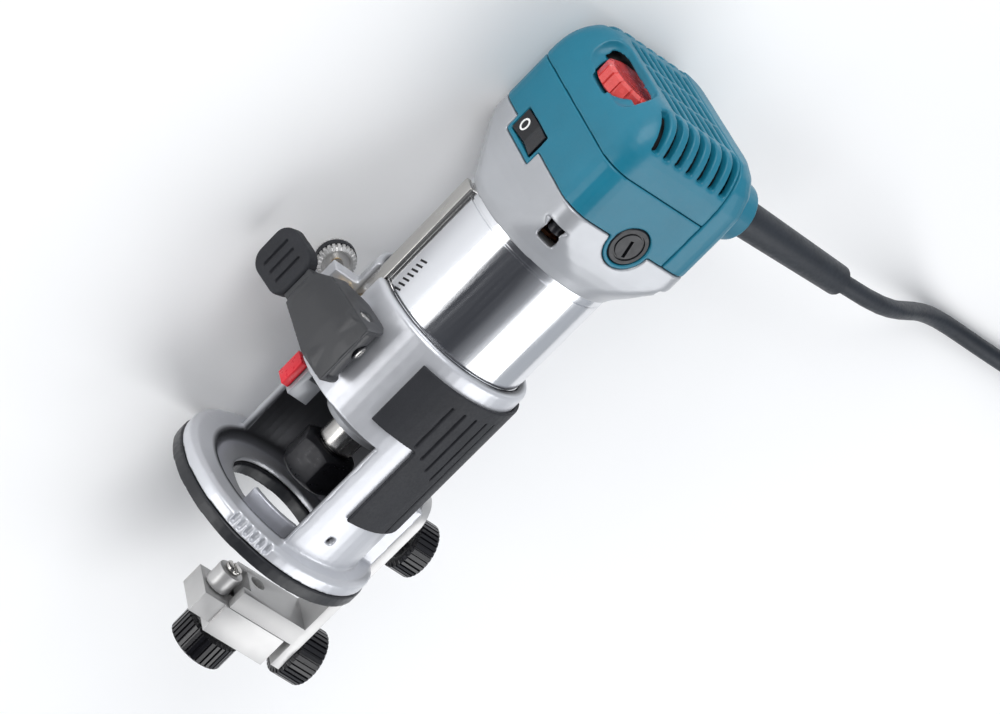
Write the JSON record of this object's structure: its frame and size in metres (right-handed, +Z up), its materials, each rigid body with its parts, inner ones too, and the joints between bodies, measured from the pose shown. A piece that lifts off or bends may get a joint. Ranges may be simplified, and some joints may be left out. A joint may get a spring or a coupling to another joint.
{
  "type": "trim router",
  "caption": "Compact trim router: square ventilated head, round aluminium barrel, sleeve base with cam clamp, and a roller guide below; shown lying on its side with its cord.",
  "frame": {"origin": "on the floor, under the middle of the tool without its cord", "axes": "+X runs from the head to the base, +Y from the switch side to the cord side, +Z up from the floor"},
  "size_m": [0.3665, 0.4352, 0.0905],
  "materials": {
    "teal_plastic": "moulded, fine texture",
    "grey_plastic": "satin",
    "polished_aluminium": "polished",
    "cast_aluminium": "satin silver",
    "base_plastic": "moulded",
    "black_plastic": "semi-gloss",
    "black_steel": "blackened",
    "grip_rubber": "matte",
    "cord_rubber": "matte",
    "bright_steel": "turned",
    "satin_nickel": "satin nickel",
    "copper": "turned",
    "brass": "satin",
    "carbon": "matte",
    "dial_plastic": "tinted",
    "red_plastic": "moulded"
  },
  "bodies": {
    "motor_unit": {"lower_head_housing": "teal_plastic", "upper_head_cover": "teal_plastic", "rear_cord_cover": "teal_plastic", "flare_housing": "grey_plastic", "nose_cover": "grey_plastic", "nose_block": "grey_plastic", "motor_barrel": "polished_aluminium", "brush_cap_left": "black_plastic", "brush_cap_right": "black_plastic", "bearing_bracket": "black_plastic", "switch_body": "black_plastic", "cord_tie": "black_plastic", "cord_guard": "cord_rubber", "cord_lead": "cord_rubber", "cord_coil": "cord_rubber", "plug_body": "cord_rubber", "plug_pin_left": "brass", "plug_pin_right": "brass", "lower_bearing": "bright_steel", "upper_bearing": "bright_steel", "stator": "bright_steel", "depth_rack": "bright_steel", "head_screw_front_right": "bright_steel", "head_screw_front_left": "bright_steel", "head_screw_rear_right": "bright_steel", "head_screw_rear_left": "bright_steel", "brush_holder_left": "brass", "brush_holder_right": "brass", "carbon_brush_left": "carbon", "carbon_brush_right": "carbon", "index_strip": "red_plastic"},
    "spindle": {"spindle": "bright_steel", "cooling_fan": "black_plastic", "armature_core": "bright_steel", "armature_winding": "copper", "commutator": "copper"},
    "collet": {"collet": "bright_steel"},
    "collet_nut": {"collet_nut": "black_steel"},
    "power_rocker": {"power_rocker": "black_plastic"},
    "speed_dial": {"speed_dial": "dial_plastic"},
    "base": {"base_casting": "cast_aluminium", "base_plate": "base_plastic", "plate_screw_1": "bright_steel", "plate_screw_2": "bright_steel", "plate_screw_3": "bright_steel", "grip_pad": "grip_rubber", "clamp_bolt": "bright_steel", "lock_nut": "satin_nickel", "lever_pin": "bright_steel"},
    "clamp_lever": {"clamp_lever": "black_plastic", "lever_pad": "grip_rubber"},
    "depth_knob": {"depth_knob": "satin_nickel", "depth_pinion": "brass"},
    "guide_holder": {"guide_holder": "satin_nickel"},
    "guide_arm": {"guide_arm": "satin_nickel", "roller_screw": "bright_steel"},
    "guide_roller": {"guide_roller": "satin_nickel"},
    "clamp_screw_upper": {"clamp_screw_upper": "black_plastic"},
    "clamp_screw_lower": {"clamp_screw_lower": "black_plastic"},
    "adjusting_screw": {"adjusting_screw": "black_plastic"}
  },
  "joints": [
    {"name": "spindle_spin", "type": "hinge", "parent": "motor_unit", "child": "spindle", "pos_m": [0.08027, -0.02859, 0.04535], "axis": [-0.9993, 0, -0.0381], "continuous": true},
    {"name": "collet_slide", "type": "slide", "parent": "spindle", "child": "collet", "axis": [0.9993, 0, 0.0381], "range_m": [0, 0.003]},
    {"name": "collet_nut_turn", "type": "hinge", "parent": "collet", "child": "collet_nut", "pos_m": [0.05029, -0.02859, 0.04421], "axis": [-0.9993, 0, -0.0381], "range_deg": [0, 720]},
    {"name": "power_rock", "type": "hinge", "parent": "motor_unit", "child": "power_rocker", "pos_m": [-0.0986, -0.05459, 0.03083], "axis": [-0.9993, 0, -0.0381], "range_deg": [0, 8]},
    {"name": "speed_dial_turn", "type": "hinge", "parent": "motor_unit", "child": "speed_dial", "pos_m": [-0.13407, -0.04559, 0.03718], "axis": [-0.9993, 0, -0.0381], "range_deg": [0, 300]},
    {"name": "base_depth_slide", "type": "slide", "parent": "motor_unit", "child": "base", "axis": [-0.9993, 0, -0.0381], "range_m": [-0.012, 0.028]},
    {"name": "depth_knob_turn", "type": "hinge", "parent": "base", "child": "depth_knob", "pos_m": [-0.00714, -0.06208, 0.01512], "axis": [-0.0374, -0.1908, 0.9809], "range_deg": [-256, 595]},
    {"name": "clamp_lever_swing", "type": "hinge", "parent": "base", "child": "clamp_lever", "pos_m": [-0.0037, -0.07248, 0.05605], "axis": [-0.9993, 0, -0.0381], "range_deg": [0, 75]},
    {"name": "guide_height_slide", "type": "slide", "parent": "base", "child": "guide_holder", "axis": [-0.9993, 0, -0.0381], "range_m": [-0.008, 0.008]},
    {"name": "guide_arm_slide", "type": "slide", "parent": "guide_holder", "child": "guide_arm", "axis": [-0.0073, 0.9816, 0.1907], "range_m": [-0.007, 0.001]},
    {"name": "adjusting_screw_turn", "type": "hinge", "parent": "guide_holder", "child": "adjusting_screw", "pos_m": [0.12115, 0.01067, 0.05455], "axis": [-0.0073, 0.9816, 0.1907], "range_deg": [-2520, 360]},
    {"name": "guide_roller_spin", "type": "hinge", "parent": "guide_arm", "child": "guide_roller", "pos_m": [0.1102, -0.02221, 0.04773], "axis": [-0.9993, 0, -0.0381], "continuous": true},
    {"name": "clamp_screw_upper_turn", "type": "hinge", "parent": "guide_holder", "child": "clamp_screw_upper", "pos_m": [0.0583, 0.01067, 0.05215], "axis": [-0.0073, 0.9816, 0.1907], "range_deg": [0, 360]},
    {"name": "clamp_screw_lower_turn", "type": "hinge", "parent": "guide_holder", "child": "clamp_screw_lower", "pos_m": [0.1302, -0.00799, 0.0482], "axis": [-0.9993, 0, -0.0381], "range_deg": [0, 360]}
  ],
  "couplings": [
    {"joint": "collet_slide", "follows": "collet_nut_turn", "m_per_rad": 0.00023873},
    {"joint": "depth_knob_turn", "follows": "base_depth_slide", "rad_per_m": 370.37},
    {"joint": "guide_arm_slide", "follows": "adjusting_screw_turn", "m_per_rad": 0.00015915}
  ]
}
